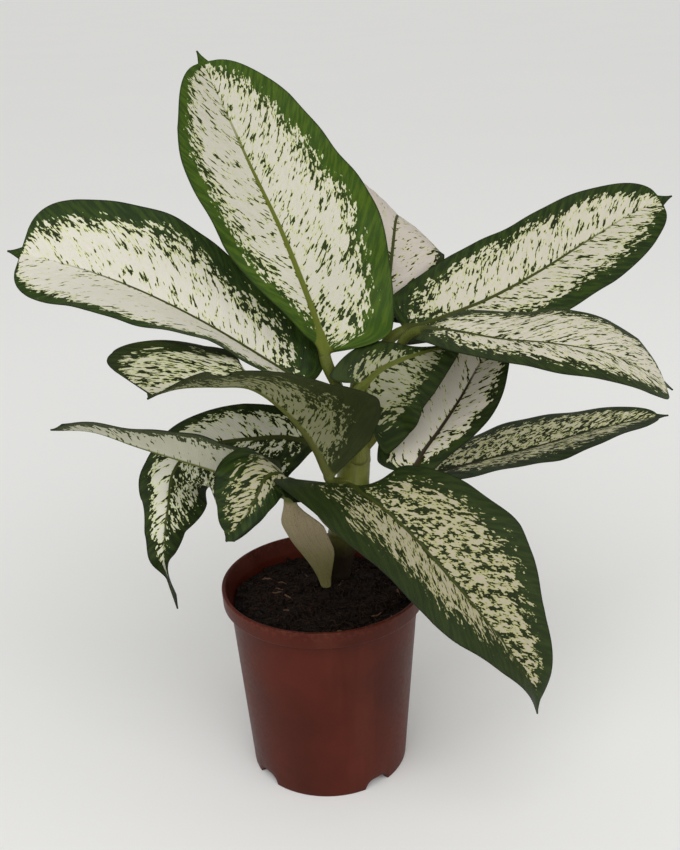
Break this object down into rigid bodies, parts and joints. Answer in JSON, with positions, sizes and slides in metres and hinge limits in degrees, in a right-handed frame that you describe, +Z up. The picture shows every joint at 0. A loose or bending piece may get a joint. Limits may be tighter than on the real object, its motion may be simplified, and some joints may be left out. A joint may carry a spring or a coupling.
{
  "type": "potted dieffenbachia",
  "caption": "Leafy dieffenbachia with broad pale leaves on one thick cane, growing in a round plastic nursery pot.",
  "frame": {"origin": "middle of the pot's foot, on the surface it stands on", "axes": "+Z up the pot's axis, -Y towards the plant's front, +X to the right seen from the front"},
  "size_m": [0.3794, 0.2553, 0.4143],
  "materials": {
    "pot": "satin",
    "soil": "matte",
    "cane": "satin",
    "leaf": "satin"
  },
  "bodies": {
    "root": {"pot": "pot", "soil": "soil", "cane": "cane", "leaf_top": "leaf", "leaf_left_high": "leaf", "leaf_left_folded": "leaf", "leaf_left_long": "leaf", "leaf_left_drooping": "leaf", "leaf_front_low": "leaf", "leaf_front_hanging": "leaf", "leaf_right_low": "leaf", "leaf_right_upright": "leaf", "leaf_right_arched": "leaf", "leaf_right_high": "leaf", "leaf_back_upright": "leaf", "leaf_right_inner": "leaf"}
  },
  "joints": []
}
